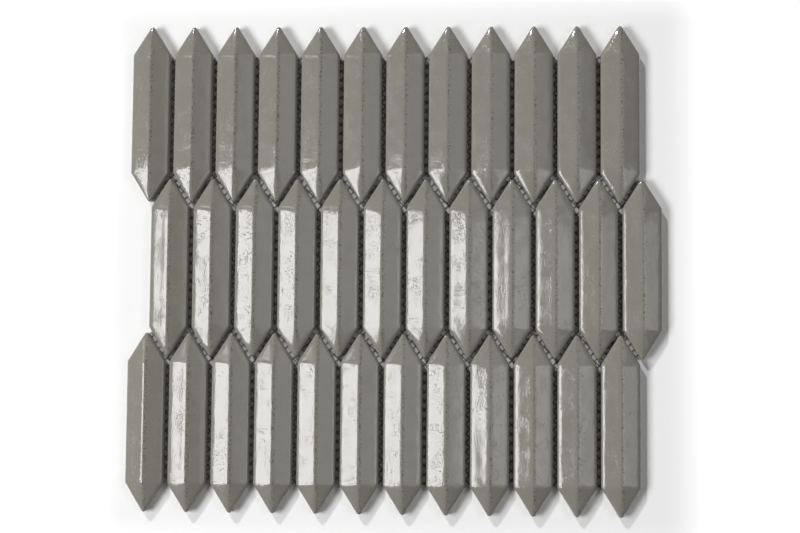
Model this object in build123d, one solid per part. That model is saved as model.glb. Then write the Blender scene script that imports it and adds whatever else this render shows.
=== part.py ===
from build123d import *
import os
from math import radians, sin, tan

# A mosaic sheet of glazed ceramic pickets on a glass-fibre mesh.
# The sheet lies flat with its mesh down: X runs along the rows, Y along the pickets.
# The origin is at the middle of the sheet, on the underside of the mesh.

# Driving dimensions, in millimetres and degrees
rows = 3
columns = 12
column_pitch = 24.0
joint_width = 2.5
diagonal_joint_width = 2.1
straight_length = 67.4
tip_half_angle = 31.8
tip_radius = 1.4
rim_height = 5.5
rim_drop = 0.6
rim_lean = 40.0
ridge_height = 9.3
ridge_setback = 1.2
ridge_radius = 3.0
mesh_thickness = 0.5

# Sizes that follow from them
half_width = (column_pitch - joint_width) / 2
half_straight = straight_length / 2
tip_slope = tan(radians(tip_half_angle))
half_length = half_straight + half_width / tip_slope
diagonal_joint_rise = diagonal_joint_width / sin(radians(tip_half_angle))
row_pitch = 2 * half_length - column_pitch / 2 / tip_slope + diagonal_joint_rise
row_shift = column_pitch / 2
mesh_width = (columns - 1) * column_pitch + 2 * half_width - row_shift
mesh_length = (rows - 1) * row_pitch + straight_length


def picket_outline():
    """Long hexagon with a rounded tip at each end."""
    corners = [
        (half_width, -half_straight),
        (half_width, half_straight),
        (0, half_length),
        (-half_width, half_straight),
        (-half_width, -half_straight),
        (0, -half_length),
    ]
    outline = make_face(Polyline(*corners, close=True))
    tips = [corner for corner in outline.vertices() if abs(corner.X) < half_width / 2]
    return fillet(tips, tip_radius)


def facet_plane(side, end):
    """Plane of one top facet: a long one where end is 0, else the hip facet at that end."""
    ridge_end = Vector(0, end * (half_straight - ridge_setback), ridge_height)
    shoulder = Vector(side * half_width, end * half_straight, rim_height)
    if end == 0:
        along = Vector(0, 1, 0)
    else:
        along = Vector(0, end * half_length, rim_height) - shoulder
    normal = (shoulder - ridge_end).cross(along)
    if normal.Z < 0:
        normal = -normal
    return Plane(origin=ridge_end, z_dir=normal)


def picket():
    """One picket on its flat back: six facets slope from the ridge to a leaning rim."""
    outline = picket_outline()
    wall_height = rim_height - rim_drop
    wall = extrude(outline, wall_height)
    crown = extrude(Pos(Z=wall_height) * outline, ridge_height - wall_height, taper=rim_lean)
    body = wall + crown
    for side in (-1, 1):
        for end in (-1, 0, 1):
            body = split(body, facet_plane(side, end), keep=Keep.BOTTOM)
    ridge = body.edges().filter_by(Axis.Y).sort_by(Axis.Z)[-1]
    return fillet(ridge, ridge_radius)


def backing_mesh():
    """Rectangle of glass-fibre scrim that reaches from the outer shoulders of one row to the other."""
    return extrude(Rectangle(mesh_width, mesh_length), mesh_thickness)


os.makedirs("parts", exist_ok=True)

export_step(backing_mesh(), "parts/backing_mesh.step")

shape = picket()
for row in range(rows):
    shift = row_shift / 2 if row % 2 else -row_shift / 2
    y = ((rows - 1) / 2 - row) * row_pitch
    for column in range(columns):
        x = (column - (columns - 1) / 2) * column_pitch + shift
        node = f"picket_r{row + 1}_c{column + 1:02d}"
        export_step(Pos(x, y, mesh_thickness) * shape, f"parts/{node}.step")
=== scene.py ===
import math

import bpy
import numpy as np
from mathutils import Euler, Matrix, Vector


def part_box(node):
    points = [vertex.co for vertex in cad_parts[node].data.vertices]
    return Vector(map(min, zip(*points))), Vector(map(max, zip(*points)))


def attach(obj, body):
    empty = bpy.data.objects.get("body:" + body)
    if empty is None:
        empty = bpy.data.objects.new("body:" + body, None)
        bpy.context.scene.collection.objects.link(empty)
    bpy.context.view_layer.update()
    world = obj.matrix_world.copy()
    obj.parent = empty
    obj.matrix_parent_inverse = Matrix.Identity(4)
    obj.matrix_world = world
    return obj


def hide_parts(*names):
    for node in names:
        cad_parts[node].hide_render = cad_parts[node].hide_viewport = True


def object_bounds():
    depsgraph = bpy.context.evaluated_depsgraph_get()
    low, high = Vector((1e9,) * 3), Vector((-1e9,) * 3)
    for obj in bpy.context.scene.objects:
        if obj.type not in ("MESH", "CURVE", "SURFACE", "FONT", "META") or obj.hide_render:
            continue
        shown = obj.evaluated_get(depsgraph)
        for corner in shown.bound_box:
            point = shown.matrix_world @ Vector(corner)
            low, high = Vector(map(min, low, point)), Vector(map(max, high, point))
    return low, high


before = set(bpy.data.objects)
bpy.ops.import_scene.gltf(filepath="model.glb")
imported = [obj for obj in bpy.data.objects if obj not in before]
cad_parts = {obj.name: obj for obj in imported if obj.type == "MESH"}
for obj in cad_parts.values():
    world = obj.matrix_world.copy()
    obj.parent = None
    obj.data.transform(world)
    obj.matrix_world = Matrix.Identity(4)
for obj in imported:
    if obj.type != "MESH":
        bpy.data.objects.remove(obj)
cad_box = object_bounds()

# A mosaic sheet of glazed pickets on a glass-fibre mesh, seen from above as in the photograph.
# Every length is in metres, in the frame of the solids.
MM = 0.001

# Picket: its box comes from the frame, its form from these values
PICKETS = sorted(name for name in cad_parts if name.startswith("picket_"))
PICKET_LOW, PICKET_HIGH = (Vector(corner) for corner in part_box(PICKETS[0]))
HALF_WIDTH = (PICKET_HIGH.x - PICKET_LOW.x) / 2
BACK_LEVEL = PICKET_LOW.z
TOP_HEIGHT = PICKET_HIGH.z - PICKET_LOW.z
HALF_STRAIGHT = 33.7 * MM
TIP_HALF_ANGLE = math.radians(31.8)
TIP_RADIUS = 1.4 * MM
RIM_HEIGHT = 5.5 * MM
RIDGE_HEIGHT = 9.3 * MM
RIDGE_SETBACK = 1.2 * MM
GLAZE_LINE = 0.7 * MM
BACK_BREAK = 0.2 * MM

# Outline of a picket before its tips are rounded, and the fall of its facets
TIP_SLOPE = math.tan(TIP_HALF_ANGLE)
TIP_LENGTH = HALF_WIDTH / TIP_SLOPE
HALF_LENGTH = HALF_STRAIGHT + TIP_LENGTH
TIP_CENTRE = HALF_LENGTH - TIP_RADIUS / math.sin(TIP_HALF_ANGLE)
FACET_RISE = RIDGE_HEIGHT - RIM_HEIGHT
FACET_SLOPE = FACET_RISE / HALF_WIDTH
HIP_SLOPE = FACET_RISE / (TIP_LENGTH + RIDGE_SETBACK)

# Softness of a glazed face: ridge, hips, rim, and a steeper strip on the left of the ridge
CREST_ROUNDING = 0.5 * MM
TIP_CREST_ROUNDING = 2.2 * MM
HIP_ROUNDING = 1.2 * MM
PILLOW_BAND = 3.2 * MM
PILLOW_SLOPE = 0.20
PILLOW_POWER = 2.5
EDGE_RADIUS = 0.9 * MM
STRIP_DROP = 0.065 * MM
STRIP_START = 1.2 * MM
STRIP_WIDTH = 3.2 * MM
STRIP_FADE = 5.0 * MM
SHARP_ANGLE = math.radians(50.0)

# Unevenness of the pressed pickets: waves on every face, and one picket that leans to the left
SEED = 36
WAVE_COUNT = 9
WAVE_LENGTHS = (7.0 * MM, 26.0 * MM)
WAVE_SLOPE = 0.004
LEAN = {"picket_r3_c01": 0.06}

# Points of a picket's mesh: lines along it, places across it from the rim inwards, rings down its wall
SHOULDER_ZONE = 3.0 * MM
MIDDLE_LINES = 24
SHOULDER_LINES = 9
SLANT_LINES = 16
TIP_LINES = 9
TIP_END_SHARE = 0.08
RIM_STEPS = np.array([0.0, 0.03, 0.09, 0.18, 0.3, 0.45, 0.65, 0.95, 1.4, 2.0, 2.8]) * MM
RIM_LARGEST_SHARE = 0.55
INNER_PLACES = 10
INNER_CROWDING = 1.35
WALL_SHARES = (0.6, 0.3)

# Backing mesh: flat glass threads on the bias, with the section of one as shares of its half size
THREAD_PITCH = 3.6 * MM
THREAD_WIDTH = 0.6 * MM
THREAD_ANGLE = math.radians(45.0)
THREAD_STEPS_PER_PITCH = 3
THREAD_FLAT = 0.55
THREAD_SECTION = (
    (-1, 0),
    (-THREAD_FLAT, 1),
    (THREAD_FLAT, 1),
    (1, 0),
    (THREAD_FLAT, -1),
    (-THREAD_FLAT, -1),
)

# Glaze: its colours, then its marks, each with its noise (scale, detail, roughness), range and amount
GLAZE = (0.246, 0.235, 0.207, 1.0)
# The next colour is a painted highlight, laid on the glaze along the rim of each picket.
GLAZE_RIM_HIGHLIGHT = (0.290, 0.279, 0.248, 1.0)
GLAZE_DARK = (0.205, 0.195, 0.170, 1.0)
# The next colour darkens real pinholes near the crest with painted shade, the shade that light from the
# left leaves in them.
SHADED_PIT_COLOUR = (0.060, 0.052, 0.042, 1.0)
BISQUE = (0.62, 0.585, 0.53, 1.0)
MOTTLE_NOISE = (140.0, 4.0, 0.6)
MOTTLE_RANGE = (0.3, 0.7)
MOTTLE_AMOUNT = 0.35
PIT_NOISE = (1000.0, 2.0, 0.6)
PIT_RANGE = (0.53, 0.63)
PIT_AMOUNT = 0.7
WRINKLE_NOISE = (1000.0, 2.0, 0.5)
WRINKLE_STRETCH = (1.0, 0.6, 1.0)
WRINKLE_HEIGHT = 0.06 * MM
PATCH_NOISE = (110.0, 2.0, 0.5)
PATCH_RANGE = (0.38, 0.64)
PATCH_LEAST = 0.12
CLUSTER_NOISE = (130.0, 1.0, 0.5)
CLUSTER_RANGE = (0.46, 0.60)
CLUSTER_LEAST = 0.10
GRAIN_SCALE = 850.0
GRAIN_RANGE = (0.20, 0.42)

# Glaze: where pinholes' painted shade, the rim's painted highlight and the bare foot fade out, in
# millimetres on the mesh
# The pinholes' painted shade sits this far right of the crest, on the side away from the lamps.
PIT_SHADE_OFFSET = 0.7 * MM
CREST_BAND = (0.4, 1.3)
RIM_HIGHLIGHT_BAND = (0.2, 1.0)
RIM_HIGHLIGHT_AMOUNT = 0.5
FOOT_BAND = (0.6, 0.75)

# Glaze: gloss
GLAZE_IOR = 1.47
GLOSS_ROUGHNESS = 0.06
DULL_RANGE = (0.46, 0.62)
DULL_ROUGHNESS = 0.14
GRAIN_ROUGHNESS = 0.55
BISQUE_ROUGHNESS = 0.85

# Thread
THREAD_DARK = (0.13, 0.13, 0.12, 1.0)
THREAD_LIGHT = (0.27, 0.27, 0.25, 1.0)
FIBRE_NOISE = (2500.0, 2.0, 0.6)
FIBRE_RANGE = (0.3, 0.7)
THREAD_ROUGHNESS = 0.55

# Floor: it is lifted to white past the sheet, a little close by and more far away
WHITE = (1.0, 1.0, 1.0, 1.0)
FLOOR_REACH = 8.0
FLOOR_COLOUR = (0.95, 0.95, 0.95, 1.0)
FLOOR_ROUGHNESS = 0.9
NEAR_RANGE = (0.0, 0.035)
NEAR_LIFT = 0.32
FAR_RANGE = (0.2, 1.5)
FAR_LIFT = 0.7
ROOM_LIGHT = 0.02

# Camera, from the photograph's viewpoint
CAMERA_PLACE = (0.0401, -0.0531, 0.7828)
CAMERA_TURN = (3.98, 2.64, 0.47)
CAMERA_NEAR = 0.01
FOCAL_LENGTH_PX = 1400.0
IMAGE_WIDTH_PX = 800.0
SENSOR_WIDTH_MM = 36.0


def outline_half_width(y):
    """Half width of the outline at each distance y along the picket."""
    y = np.abs(y)
    slanted = (HALF_LENGTH - y) * TIP_SLOPE
    beyond = np.clip(y - TIP_CENTRE, 0, TIP_RADIUS)
    arc = np.sqrt(TIP_RADIUS**2 - beyond**2)
    on_arc = y > TIP_CENTRE + TIP_RADIUS * math.sin(TIP_HALF_ANGLE)
    return np.where(on_arc, arc, np.minimum(HALF_WIDTH, slanted))


def inset(x, y):
    """Distance of points inside the outline from the nearest edge."""
    x, y = np.abs(x), np.abs(y)
    sides = HALF_WIDTH - x
    slants = ((HALF_LENGTH - y) * TIP_SLOPE - x) * math.cos(TIP_HALF_ANGLE)
    beyond = y - TIP_CENTRE
    in_tip = (beyond > 0) & (x < beyond / TIP_SLOPE)
    tips = TIP_RADIUS - np.hypot(x, beyond)
    return np.maximum(np.where(in_tip, tips, np.minimum(sides, slants)), 0)


def face_height(x, y):
    """Height of the glazed face over the back: soft facets, the steeper strip and a pillowed rim."""
    past_break = np.abs(y) - HALF_STRAIGHT + RIDGE_SETBACK * (1 - np.abs(x) / HALF_WIDTH)
    hip = (past_break + np.sqrt(past_break**2 + HIP_ROUNDING**2)) / 2
    to_tip = np.clip((np.abs(y) - HALF_STRAIGHT) / TIP_LENGTH, 0, 1)
    crest = CREST_ROUNDING + (TIP_CREST_ROUNDING - CREST_ROUNDING) * to_tip
    facets = RIDGE_HEIGHT - FACET_SLOPE * np.sqrt(x**2 + crest**2) - HIP_SLOPE * hip
    over_strip = np.clip((-x - STRIP_START) / STRIP_WIDTH, 0, 1)
    strip_end = np.clip((HALF_STRAIGHT - np.abs(y)) / STRIP_FADE, 0, 1)
    strip = STRIP_DROP * over_strip**2 * (3 - 2 * over_strip) * strip_end
    depth = inset(x, y)
    band = np.clip(1 - depth / PILLOW_BAND, 0, 1)
    pillow = PILLOW_SLOPE * PILLOW_BAND / PILLOW_POWER * band**PILLOW_POWER
    corner = np.clip(1 - depth / EDGE_RADIUS, 0, 1)
    edge = EDGE_RADIUS * (1 - np.sqrt(1 - corner**2))
    return facets - strip - pillow - edge


def waviness(x, y, rng):
    """Long shallow waves of a pressed face, different on each picket."""
    height = np.zeros_like(x)
    for length in np.geomspace(*WAVE_LENGTHS, WAVE_COUNT):
        turn = rng.uniform(0, 2 * math.pi)
        phase = rng.uniform(0, 2 * math.pi)
        amplitude = WAVE_SLOPE * length / (2 * math.pi)
        travel = x * math.cos(turn) + y * math.sin(turn)
        height += amplitude * np.sin(2 * math.pi * travel / length + phase)
    return height


def mirrored(half):
    """Places on both sides of zero, from those on one side that start at zero."""
    return np.concatenate([-half[:0:-1], half])


def stations_along():
    """Places of the cross lines along a picket, closer at the shoulders and tips."""
    before = HALF_STRAIGHT - SHOULDER_ZONE
    after = HALF_STRAIGHT + SHOULDER_ZONE
    tip_reach = TIP_RADIUS * math.cos(math.asin(TIP_END_SHARE))
    middle = np.linspace(0, before, MIDDLE_LINES)
    shoulder = np.linspace(before, after, SHOULDER_LINES)[1:]
    slant = np.linspace(after, TIP_CENTRE, SLANT_LINES)[1:]
    tip = TIP_CENTRE + tip_reach * np.sin(np.linspace(0, math.pi / 2, TIP_LINES))[1:]
    return mirrored(np.concatenate([middle, shoulder, slant, tip]))


def stations_across(half_width):
    """Places across a picket of that half width, closer at the rim and the crest."""
    rim = RIM_STEPS * min(1.0, RIM_LARGEST_SHARE * half_width / RIM_STEPS[-1])
    inner = (half_width - rim[-1]) * np.linspace(0, 1, INNER_PLACES)[:-1] ** INNER_CROWDING
    return mirrored(np.concatenate([inner, (half_width - rim)[::-1]]))


def new_object(name, vertices, faces):
    """A mesh object from points and faces, linked into the scene."""
    mesh = bpy.data.meshes.new(name)
    mesh.from_pydata(vertices.tolist(), [], faces)
    mesh.validate()
    mesh.update()
    thing = bpy.data.objects.new(name, mesh)
    bpy.context.scene.collection.objects.link(thing)
    return thing


def add_attribute(mesh, name, values):
    """A number on each vertex for a material to read."""
    layer = mesh.attributes.new(name, "FLOAT", "POINT")
    layer.data.foreach_set("value", np.asarray(values, dtype=np.float32))


def grid_faces(index):
    """Four-sided faces between the numbered points of a grid."""
    corners = (index[:-1, :-1], index[:-1, 1:], index[1:, 1:], index[1:, :-1])
    return np.stack([corner.ravel() for corner in corners], axis=1).tolist()


def ring_faces(upper, lower):
    """Four-sided faces between two closed rings of numbered points."""
    return np.stack([upper, lower, np.roll(lower, -1), np.roll(upper, -1)], axis=1).tolist()


def glazed_face(node, rng):
    """Grid of points on a picket's glazed face, about the middle of its back."""
    along = stations_along()
    x = np.array([stations_across(half) for half in outline_half_width(along)])
    y = np.repeat(along[:, None], x.shape[1], axis=1)
    z = face_height(x, y) + waviness(x, y, rng) * np.clip(inset(x, y) / PILLOW_BAND, 0, 1)
    z -= LEAN.get(node, 0.0) * (HALF_WIDTH - x)
    z -= max(z.max() - TOP_HEIGHT, 0)
    return np.stack([x, y, z], axis=2)


def wall_rings(rim):
    """Rings of points from under the rim down to the broken edge of the back."""
    levels = [(rim[:, 2] * share, 0.0) for share in WALL_SHARES]
    levels += [(GLAZE_LINE, 0.0), (BACK_BREAK, 0.0), (0.0, BACK_BREAK)]
    rings = []
    for level, step_in in levels:
        ring = rim.copy()
        ring[:, 0] *= 1 - step_in / HALF_WIDTH
        ring[:, 1] -= np.sign(ring[:, 1]) * step_in
        ring[:, 2] = level
        rings.append(ring)
    return rings


def picket_mesh(node, rng):
    """A finely modelled picket in its node's place."""
    face = glazed_face(node, rng)
    points = face.reshape(-1, 3)
    index = np.arange(len(points)).reshape(face.shape[:2])
    upper = np.concatenate([index[0, :], index[1:, -1], index[-1, -2::-1], index[-2:0:-1, 0]])
    rings = wall_rings(points[upper])
    faces = grid_faces(index)
    for number in range(len(rings)):
        lower = len(points) + number * len(upper) + np.arange(len(upper))
        faces += ring_faces(upper, lower)
        upper = lower
    faces.append(upper[::-1].tolist())
    vertices = np.concatenate([points, *rings])
    x, y, height = vertices.T
    low, high = (np.array(corner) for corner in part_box(node))
    centre = (low + high) / 2
    place = np.array([centre[0], centre[1], BACK_LEVEL])
    tile = new_object(node + "_tile", vertices + place, faces)
    # The crest number is measured from a line just right of the crest, where the pinholes' painted shade
    # lies.
    add_attribute(tile.data, "crest", np.abs(x - PIT_SHADE_OFFSET) / MM)
    add_attribute(tile.data, "depth", inset(x, y) / MM)
    add_attribute(tile.data, "height", height / MM)
    tile.data.shade_smooth()
    tile.data.set_sharp_from_angle(angle=SHARP_ANGLE)
    return tile


def thread_places(base, direction, half):
    """Places along a thread through base, from one edge of the sheet to another."""
    starts, ends = [], []
    for axis in (0, 1):
        crossings = sorted((edge - base[axis]) / direction[axis] for edge in (-half[axis], half[axis]))
        starts.append(crossings[0])
        ends.append(crossings[1])
    start = max(starts) + THREAD_WIDTH / 2
    end = min(ends) - THREAD_WIDTH / 2
    if end - start < THREAD_PITCH:
        return np.array([])
    step = THREAD_PITCH / THREAD_STEPS_PER_PITCH
    places = np.arange(math.ceil(start / step), math.floor(end / step) + 1) * step
    return np.concatenate([[start], places[(places > start) & (places < end)], [end]])


def thread_layer(name, sign, low, high):
    """One direction of the mesh: flat threads that weave over and under those of the other."""
    middle = (low + high) / 2
    half = (high - low) / 2
    direction = np.array([math.cos(THREAD_ANGLE), sign * math.sin(THREAD_ANGLE)])
    normal = np.array([-direction[1], direction[0]])
    reach = abs(normal[0]) * half.x + abs(normal[1]) * half.y
    count = int(reach / THREAD_PITCH - 1)
    sides = len(THREAD_SECTION)
    vertices, faces = [], []
    for number in range(-count, count + 1):
        base = normal * number * THREAD_PITCH
        places = thread_places(base, direction, half)
        if len(places) == 0:
            continue
        weave = sign * np.cos(math.pi * (places / THREAD_PITCH + number))
        ring = np.arange(len(vertices), len(vertices) + sides)
        faces.append(ring[::-1].tolist())
        for place, level in zip(places, middle.z + weave * half.z / 2):
            for side, rise in THREAD_SECTION:
                flat = base + direction * place + normal * side * THREAD_WIDTH / 2
                vertices.append((middle.x + flat[0], middle.y + flat[1], level + rise * half.z / 2))
        for _ in places[1:]:
            faces += ring_faces(ring + sides, ring)
            ring = ring + sides
        faces.append(ring.tolist())
    layer = new_object(name, np.array(vertices), faces)
    layer.data.shade_smooth()
    return layer


def new_material(name):
    """A new material with its node tree and its shader."""
    material = bpy.data.materials.new(name)
    material.use_nodes = True
    tree = material.node_tree
    return material, tree, tree.nodes["Principled BSDF"]


def feed(tree, socket, value):
    """Another socket linked to this one, or a number or colour set on it."""
    if isinstance(value, bpy.types.NodeSocket):
        tree.links.new(value, socket)
    else:
        socket.default_value = value


def object_place(tree):
    """Place on the object, in metres."""
    return tree.nodes.new("ShaderNodeTexCoord").outputs["Object"]


def noise(tree, coordinates, scale, detail, roughness):
    """Cloudy noise on those coordinates."""
    node = tree.nodes.new("ShaderNodeTexNoise")
    node.inputs["Scale"].default_value = scale
    node.inputs["Detail"].default_value = detail
    node.inputs["Roughness"].default_value = roughness
    tree.links.new(coordinates, node.inputs["Vector"])
    return node.outputs["Fac"]


def cells(tree, coordinates, scale):
    """Distance from the nearest of many scattered points on those coordinates."""
    node = tree.nodes.new("ShaderNodeTexVoronoi")
    node.inputs["Scale"].default_value = scale
    tree.links.new(coordinates, node.inputs["Vector"])
    return node.outputs["Distance"]


def attribute(tree, name):
    """A vertex number as a value."""
    node = tree.nodes.new("ShaderNodeAttribute")
    node.attribute_name = name
    return node.outputs["Fac"]


def spread(tree, value, source, target, smooth=True):
    """A value mapped from one range to another, with soft ends or in proportion."""
    node = tree.nodes.new("ShaderNodeMapRange")
    node.interpolation_type = "SMOOTHSTEP" if smooth else "LINEAR"
    node.inputs["From Min"].default_value = source[0]
    node.inputs["From Max"].default_value = source[1]
    node.inputs["To Min"].default_value = target[0]
    node.inputs["To Max"].default_value = target[1]
    tree.links.new(value, node.inputs["Value"])
    return node.outputs["Result"]


def combine(tree, operation, *values):
    """The result of a sum on one or two values, each a number or a socket."""
    node = tree.nodes.new("ShaderNodeMath")
    node.operation = operation
    for socket, value in zip(node.inputs, values):
        feed(tree, socket, value)
    return node.outputs["Value"]


def add(tree, first, second):
    """The total of two values."""
    return combine(tree, "ADD", first, second)


def times(tree, first, second):
    """The product of two values."""
    return combine(tree, "MULTIPLY", first, second)


def larger(tree, first, second):
    """The larger of two values."""
    return combine(tree, "MAXIMUM", first, second)


def blend(tree, kind, factor, first, second):
    """A value between two others: kind is FLOAT for numbers and RGBA for colours."""
    node = tree.nodes.new("ShaderNodeMix")
    node.data_type = kind
    tree.links.new(factor, node.inputs["Factor"])
    socket_type = {"FLOAT": "VALUE", "RGBA": "RGBA"}[kind]
    ends = [socket for socket in node.inputs if socket.name in ("A", "B") and socket.type == socket_type]
    for socket, value in zip(ends, (first, second)):
        feed(tree, socket, value)
    return next(socket for socket in node.outputs if socket.type == socket_type)


def glaze_colour(tree, place, foot):
    """Mottled warm grey, with a painted highlight along the rim, pinholes near the crest darkened with
    painted shade, and bare clay at the foot.
    """
    mottle = spread(tree, noise(tree, place, *MOTTLE_NOISE), MOTTLE_RANGE, (0.0, 1.0), smooth=False)
    # Painted highlight: the glaze is lightened in a band along the rim.
    rim = spread(tree, attribute(tree, "depth"), RIM_HIGHLIGHT_BAND, (RIM_HIGHLIGHT_AMOUNT, 0.0))
    on_crest = spread(tree, attribute(tree, "crest"), CREST_BAND, (1.0, 0.0))
    # Pinholes near the crest, darkened with painted shade.
    pits = spread(tree, noise(tree, place, *PIT_NOISE), PIT_RANGE, (0.0, 1.0))
    shaded_pits = times(tree, times(tree, on_crest, pits), PIT_AMOUNT)
    colour = blend(tree, "RGBA", times(tree, mottle, MOTTLE_AMOUNT), GLAZE, GLAZE_DARK)
    colour = blend(tree, "RGBA", rim, colour, GLAZE_RIM_HIGHLIGHT)
    colour = blend(tree, "RGBA", shaded_pits, colour, SHADED_PIT_COLOUR)
    return blend(tree, "RGBA", foot, colour, BISQUE)


def glaze_roughness(tree, place, foot, wrinkle, patches):
    """Gloss with duller wrinkles and clusters of fine dull dots, and a dull foot."""
    dull = times(tree, spread(tree, wrinkle, DULL_RANGE, (0.0, DULL_ROUGHNESS)), patches)
    clusters = spread(tree, noise(tree, place, *CLUSTER_NOISE), CLUSTER_RANGE, (CLUSTER_LEAST, 1.0))
    grain = spread(tree, cells(tree, place, GRAIN_SCALE), GRAIN_RANGE, (GRAIN_ROUGHNESS, 0.0))
    sheen = add(tree, add(tree, dull, times(tree, grain, clusters)), GLOSS_ROUGHNESS)
    return blend(tree, "FLOAT", foot, sheen, BISQUE_ROUGHNESS)


def glaze_material():
    """Warm grey glaze with a wrinkled gloss, a painted highlight along the rim, pinholes near the crest
    darkened with painted shade, and a bare clay foot.
    """
    material, tree, shader = new_material("warm_grey_glaze")
    place = object_place(tree)
    stretch = tree.nodes.new("ShaderNodeMapping")
    stretch.inputs["Scale"].default_value = WRINKLE_STRETCH
    tree.links.new(place, stretch.inputs["Vector"])
    wrinkle = noise(tree, stretch.outputs["Vector"], *WRINKLE_NOISE)
    patches = spread(tree, noise(tree, place, *PATCH_NOISE), PATCH_RANGE, (PATCH_LEAST, 1.0))
    foot = spread(tree, attribute(tree, "height"), FOOT_BAND, (1.0, 0.0))
    tree.links.new(glaze_colour(tree, place, foot), shader.inputs["Base Color"])
    roughness = glaze_roughness(tree, place, foot, wrinkle, patches)
    tree.links.new(roughness, shader.inputs["Roughness"])
    shader.inputs["IOR"].default_value = GLAZE_IOR
    bump = tree.nodes.new("ShaderNodeBump")
    bump.inputs["Strength"].default_value = 1.0
    bump.inputs["Distance"].default_value = WRINKLE_HEIGHT
    relief = times(tree, combine(tree, "SUBTRACT", wrinkle, 0.5), patches)
    tree.links.new(relief, bump.inputs["Height"])
    tree.links.new(bump.outputs["Normal"], shader.inputs["Normal"])
    return material


def thread_material():
    """Grey glass-fibre thread with a faint pattern of fibres."""
    material, tree, shader = new_material("glass_fibre_thread")
    fibres = noise(tree, object_place(tree), *FIBRE_NOISE)
    fibres = spread(tree, fibres, FIBRE_RANGE, (0.0, 1.0), smooth=False)
    colour = blend(tree, "RGBA", fibres, THREAD_DARK, THREAD_LIGHT)
    tree.links.new(colour, shader.inputs["Base Color"])
    shader.inputs["Roughness"].default_value = THREAD_ROUGHNESS
    return material


def distance_past_sheet(tree):
    """Distance on the floor from the box of the sheet, zero under it."""
    axes = tree.nodes.new("ShaderNodeSeparateXYZ")
    tree.links.new(object_place(tree), axes.inputs["Vector"])
    squares = []
    for axis, edge in zip("XY", cad_box[1]):
        past = combine(tree, "SUBTRACT", combine(tree, "ABSOLUTE", axes.outputs[axis]), edge)
        squares.append(combine(tree, "POWER", larger(tree, past, 0.0), 2.0))
    return combine(tree, "SQRT", add(tree, *squares))


def floor_material():
    """Plain white floor that keeps the shadow of the sheet."""
    material, tree, shader = new_material("white_floor")
    shader.inputs["Base Color"].default_value = FLOOR_COLOUR
    shader.inputs["Roughness"].default_value = FLOOR_ROUGHNESS
    shader.inputs["Specular IOR Level"].default_value = 0.0
    shader.inputs["Emission Color"].default_value = WHITE
    beyond = distance_past_sheet(tree)
    near = spread(tree, beyond, NEAR_RANGE, (0.0, NEAR_LIFT))
    far = spread(tree, beyond, FAR_RANGE, (0.0, FAR_LIFT))
    path = tree.nodes.new("ShaderNodeLightPath").outputs
    seen = larger(tree, path["Is Camera Ray"], path["Is Glossy Ray"])
    seen = larger(tree, seen, path["Is Transmission Ray"])
    lift = times(tree, add(tree, near, far), seen)
    tree.links.new(lift, shader.inputs["Emission Strength"])
    return material


def add_floor():
    """A wide white floor under the sheet."""
    corners = np.array([(-1, -1, 0), (1, -1, 0), (1, 1, 0), (-1, 1, 0)]) * FLOOR_REACH
    floor = new_object("floor", corners, [(0, 1, 2, 3)])
    floor.data.materials.append(floor_material())


def add_panel(name, distance, toward, size, radiance, shift=(0.0, 0.0), upright=(0, 1, 0)):
    """A rectangular lamp of that radiance, square to a line from the middle of the sheet."""
    toward = Vector(toward).normalized()
    side = Vector(upright).cross(toward).normalized()
    up = toward.cross(side)
    place = toward * distance + side * shift[0] + up * shift[1]
    lamp = bpy.data.lights.new(name, "AREA")
    lamp.shape = "RECTANGLE"
    lamp.size, lamp.size_y = size
    lamp.energy = radiance * math.pi * size[0] * size[1]
    thing = bpy.data.objects.new(name, lamp)
    thing.matrix_world = Matrix.Translation(place) @ Matrix((side, up, toward)).transposed().to_4x4()
    bpy.context.scene.collection.objects.link(thing)


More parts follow.
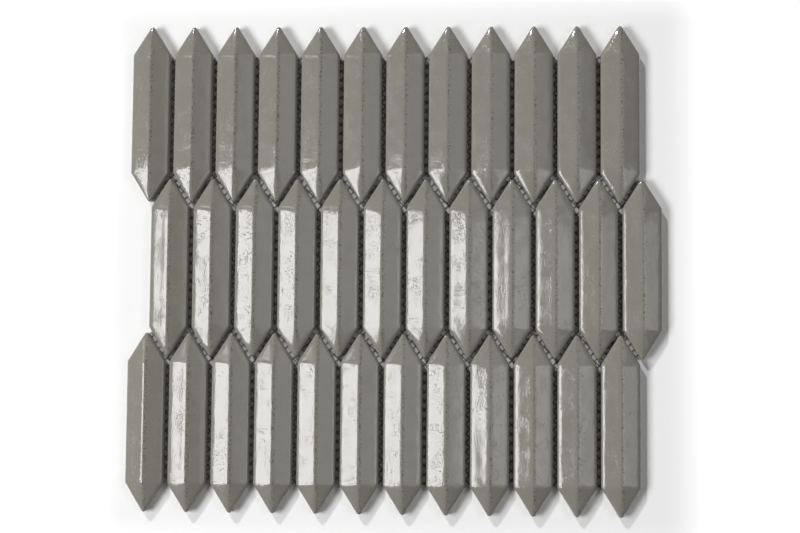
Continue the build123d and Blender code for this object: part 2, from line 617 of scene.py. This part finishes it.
def add_lights():
    """A softbox and a small glint lamp at the left, a key at the upper left, dim panels at the right."""
    add_panel(
        "softbox",
        distance=2.0,
        toward=(-0.7, -0.12, 0.7),
        size=(0.627, 1.10),
        radiance=14.0,
        shift=(-0.041, -0.018),
    )
    add_panel(
        "key",
        distance=4.0,
        toward=(-0.41, 0.71, 0.572),
        size=(0.19, 0.19),
        radiance=570.0,
        upright=(0, 0, 1),
    )
    add_panel("glint", distance=2.0, toward=(-0.70, 0.34, 0.63), size=(0.28, 0.18), radiance=5.0)
    add_panel("right_panel", distance=1.5, toward=(0.57, 0.08, 0.80), size=(0.55, 1.6), radiance=1.3)
    add_panel(
        "side_panel",
        distance=1.5,
        toward=(0.71, -0.06, 0.70),
        size=(0.36, 0.56),
        radiance=2.2,
        shift=(0.03, 0.0),
    )


def add_world():
    """A dark room."""
    world = bpy.data.worlds.new("studio")
    world.use_nodes = True
    background = world.node_tree.nodes["Background"]
    background.inputs["Color"].default_value = WHITE
    background.inputs["Strength"].default_value = ROOM_LIGHT
    bpy.context.scene.world = world


def add_camera():
    """The photograph's view: nearly straight down."""
    lens = bpy.data.cameras.new("camera")
    lens.sensor_fit = "HORIZONTAL"
    lens.sensor_width = SENSOR_WIDTH_MM
    lens.lens = FOCAL_LENGTH_PX * SENSOR_WIDTH_MM / IMAGE_WIDTH_PX
    lens.clip_start = CAMERA_NEAR
    camera = bpy.data.objects.new("camera", lens)
    camera.location = CAMERA_PLACE
    camera.rotation_euler = Euler([math.radians(turn) for turn in CAMERA_TURN], "XYZ")
    bpy.context.scene.collection.objects.link(camera)
    bpy.context.scene.camera = camera


def add_pickets():
    """Every glazed picket, in its node's place."""
    rng = np.random.default_rng(SEED)
    glaze = glaze_material()
    for node in PICKETS:
        tile = picket_mesh(node, rng)
        tile.data.materials.append(glaze)
        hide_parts(node)
        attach(tile, "root")


def add_backing():
    """The two layers of thread, in the place of the mesh's plain sheet."""
    thread = thread_material()
    low, high = (Vector(corner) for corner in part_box("backing_mesh"))
    for name, sign in (("mesh_threads_rising", 1), ("mesh_threads_falling", -1)):
        layer = thread_layer(name, sign, low, high)
        layer.data.materials.append(thread)
        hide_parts("backing_mesh")
        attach(layer, "root")


add_pickets()
add_backing()
add_floor()
add_lights()
add_world()
add_camera()
bpy.context.scene.view_settings.view_transform = "Standard"
